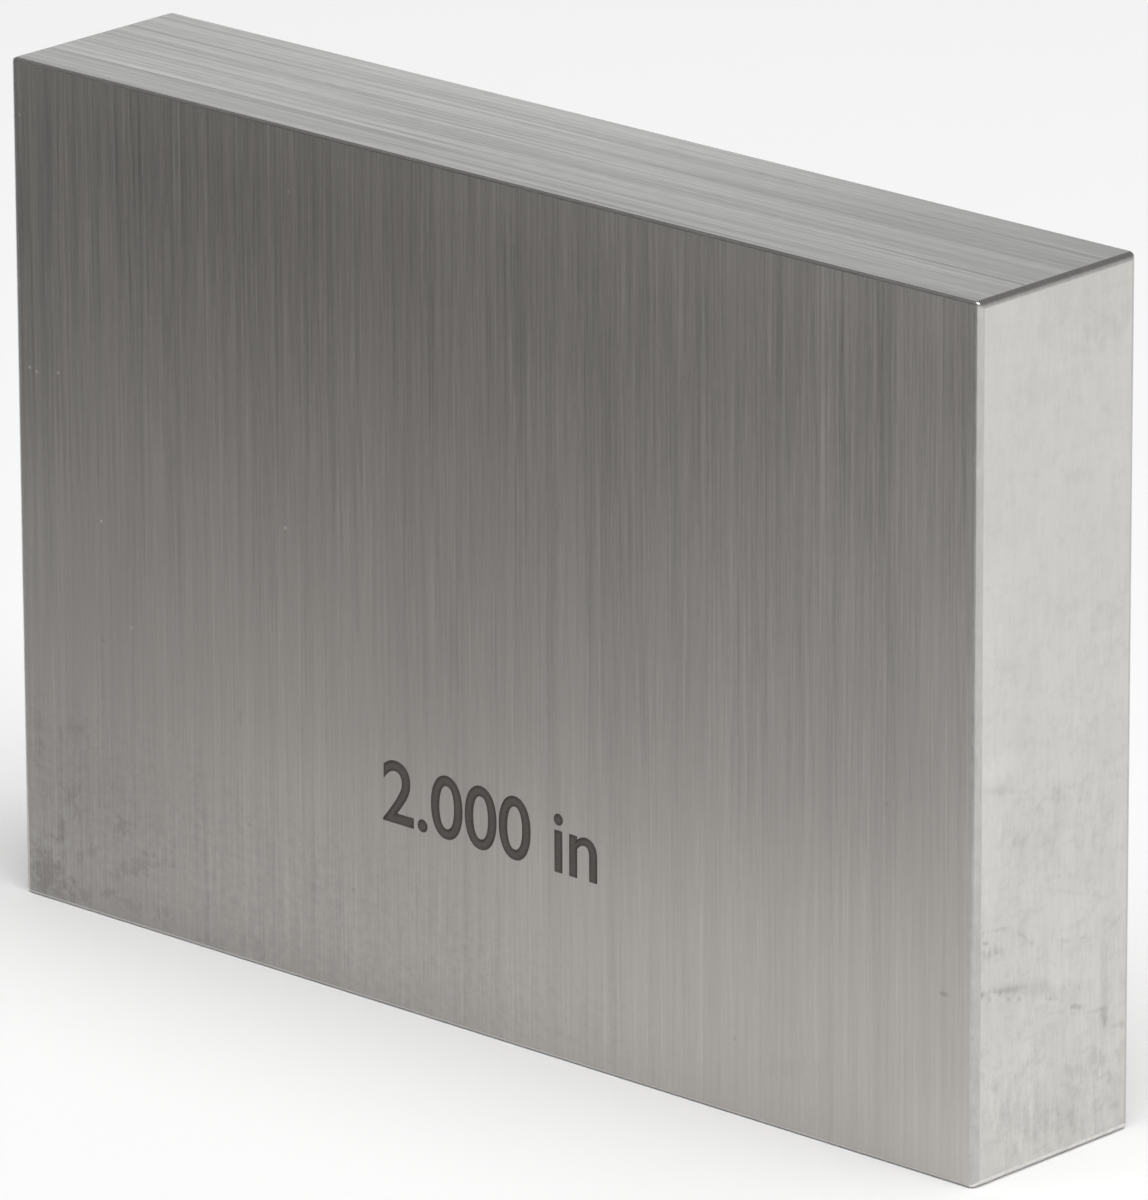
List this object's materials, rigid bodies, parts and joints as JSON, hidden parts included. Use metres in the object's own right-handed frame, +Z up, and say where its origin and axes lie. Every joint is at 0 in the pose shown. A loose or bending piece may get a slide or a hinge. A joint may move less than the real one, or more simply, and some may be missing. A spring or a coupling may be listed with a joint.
{
  "type": "gauge block",
  "caption": "Plain rectangular steel gauge block with parallel lapped measuring faces at its ends, ground side faces and bevelled edges, for setting and checking lengths.",
  "frame": {"origin": "middle of the long narrow side face that the block stands on", "axes": "+X along the measured length, from the left measuring face to the right one; +Y from the marked front face to the back face; +Z up"},
  "size_m": [0.0508, 0.009, 0.035],
  "materials": {
    "gauge_steel": "finely ground side faces, lapped measuring faces"
  },
  "bodies": {
    "root": {"gauge_block": "gauge_steel"}
  },
  "joints": []
}
